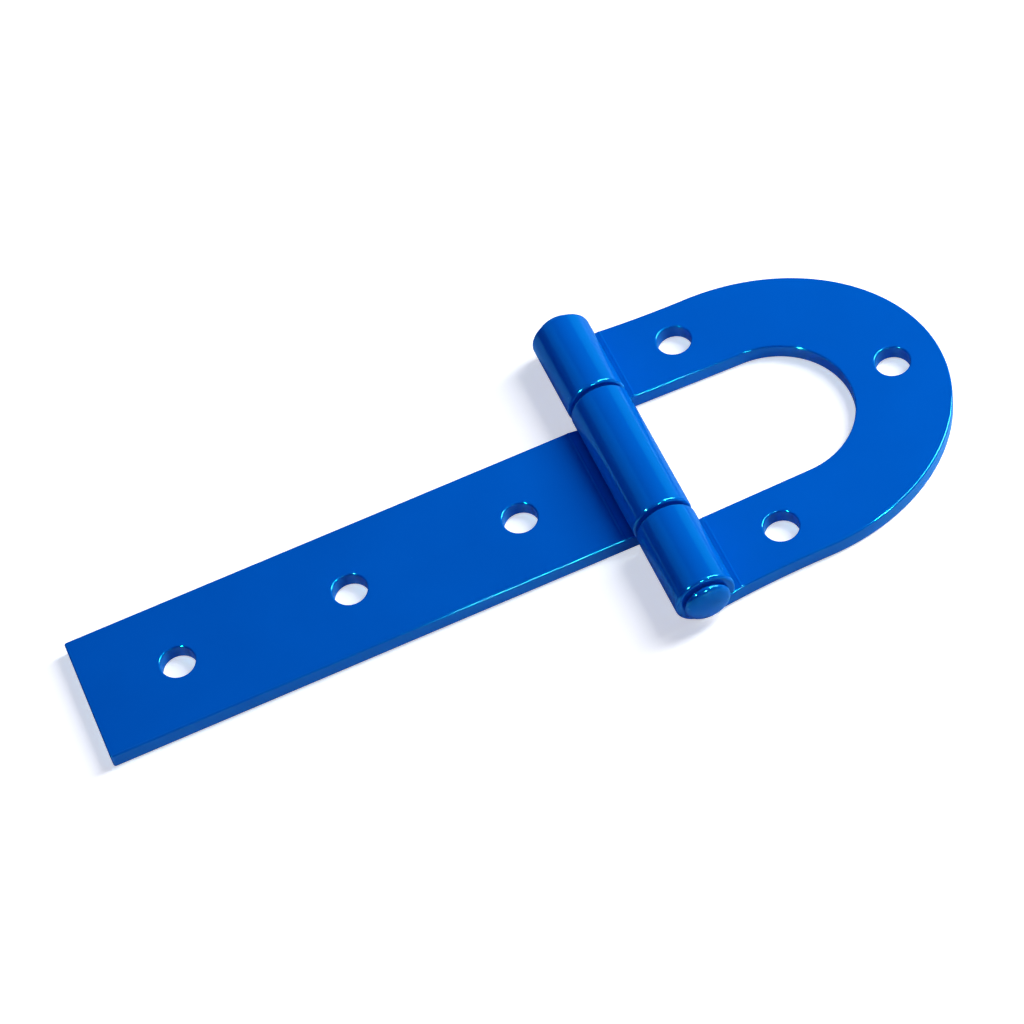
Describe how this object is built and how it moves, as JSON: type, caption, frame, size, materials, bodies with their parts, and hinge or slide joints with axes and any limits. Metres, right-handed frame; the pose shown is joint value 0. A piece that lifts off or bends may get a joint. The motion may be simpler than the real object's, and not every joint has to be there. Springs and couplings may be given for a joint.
{
  "type": "gate hinge",
  "caption": "Painted steel gate hinge with a straight strap leaf and a horseshoe-shaped leaf, rolled round one headed pin.",
  "frame": {"origin": "on the plane of both leaf backs, under the middle of the hinge pin", "axes": "+X from the pin towards the horseshoe leaf, +Y along the pin, +Z out of the gate, away from the leaf backs"},
  "size_m": [0.2499, 0.1046, 0.0171],
  "materials": {
    "blue_paint": "semi-gloss blue paint over steel",
    "pin_paint": "semi-gloss blue paint over steel"
  },
  "bodies": {
    "horseshoe": {"horseshoe_leaf": "blue_paint", "hinge_pin": "pin_paint"},
    "strap": {"strap_leaf": "blue_paint"}
  },
  "joints": [
    {"name": "hinge", "type": "hinge", "parent": "horseshoe", "child": "strap", "pos_m": [0, 0, 0.00855], "axis": [0, 1, 0], "range_deg": [-156, 183]}
  ]
}
